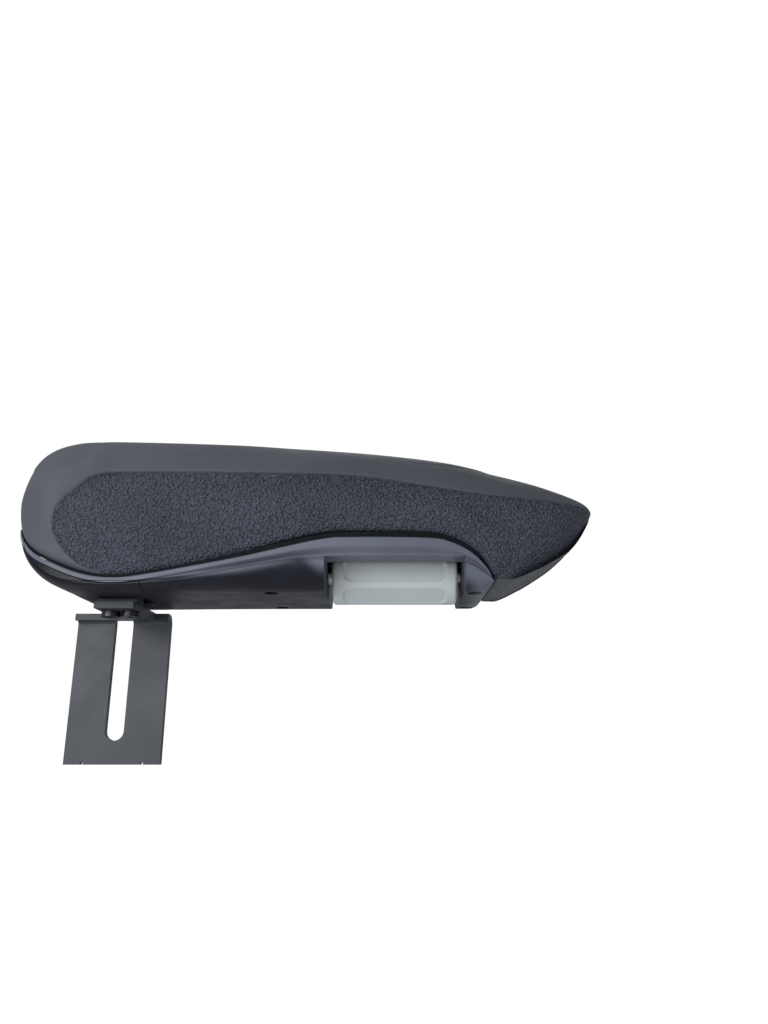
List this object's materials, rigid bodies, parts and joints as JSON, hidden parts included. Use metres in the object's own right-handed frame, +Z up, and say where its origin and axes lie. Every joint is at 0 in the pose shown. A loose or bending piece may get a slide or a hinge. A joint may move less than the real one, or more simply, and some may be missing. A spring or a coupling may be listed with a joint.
{
  "type": "chair armrest pad",
  "caption": "Flip-up seat armrest: long foam pad on a dark casing, with a grey roller that adjusts its tilt, on an L bracket with a slotted plate.",
  "frame": {"origin": "point on the outer (seat side) face of the slotted plate, on its centre line, halfway between the slot's round end and the plate's lower edge", "axes": "+X along the arm from the pivot towards the pad's nose, +Y towards the seat frame the plate bolts to, +Z up"},
  "size_m": [0.3292, 0.087, 0.1831],
  "materials": {
    "pad_skin": "moulded foam skin, fine pebble grain on the flanks and smooth on top",
    "casing_plastic": "satin moulded plastic",
    "roller_plastic": "satin light grey plastic",
    "bracket_paint": "semi-gloss black powder coat",
    "plated_steel": "zinc plated",
    "blackened_steel": "black oxide",
    "bronze": "sintered bronze",
    "nylon": "natural nylon"
  },
  "bodies": {
    "bracket": {"mount_bracket": "bracket_paint", "pivot_post": "bracket_paint", "pivot_sleeve": "bronze", "post_screw_1": "blackened_steel", "post_screw_2": "blackened_steel"},
    "stop_lever": {"stop_lever": "plated_steel"},
    "arm": {"foam_pad": "pad_skin", "carrier_rail_outer": "casing_plastic", "carrier_rail_seat_side": "casing_plastic", "channel_hood": "casing_plastic", "lower_casing": "casing_plastic", "rear_cover": "casing_plastic", "arm_channel": "bracket_paint", "channel_bolt_1": "plated_steel", "channel_bolt_2": "plated_steel", "pivot_bolt": "plated_steel", "pivot_nut": "plated_steel", "pivot_washer_outer": "plated_steel", "pivot_washer_seat_side": "plated_steel", "bearing_block": "nylon", "bearing_screw_outer": "plated_steel", "bearing_screw_seat_side": "plated_steel", "rear_bush": "bronze", "front_bush": "bronze", "casing_screw_1": "blackened_steel", "casing_screw_2": "blackened_steel", "casing_screw_3": "blackened_steel", "casing_screw_4": "blackened_steel"},
    "roller": {"adjust_roller": "roller_plastic", "roller_spindle": "plated_steel", "roller_pin": "plated_steel", "thrust_washer": "bronze", "spindle_clip": "plated_steel"},
    "slide_nut": {"slide_nut": "nylon"}
  },
  "joints": [
    {"name": "arm_fold", "type": "hinge", "parent": "bracket", "child": "stop_lever", "pos_m": [0, -0.043, 0.12625], "axis": [0, -1, 0], "range_deg": [0, 80]},
    {"name": "tilt_adjust", "type": "hinge", "parent": "stop_lever", "child": "arm", "pos_m": [0, -0.043, 0.12625], "axis": [0, -1, 0], "range_deg": [-5, 10]},
    {"name": "roller_spin", "type": "hinge", "parent": "arm", "child": "roller", "pos_m": [0.166, -0.043, 0.09775], "axis": [1, 0, 0], "range_deg": [-148, 295]},
    {"name": "nut_slide", "type": "slide", "parent": "arm", "child": "slide_nut", "axis": [-1, 0, 0], "range_m": [-0.0026, 0.0052]}
  ],
  "couplings": [
    {"joint": "roller_spin", "follows": "tilt_adjust", "ratio": 29.32},
    {"joint": "nut_slide", "follows": "tilt_adjust", "m_per_rad": 0.028}
  ]
}
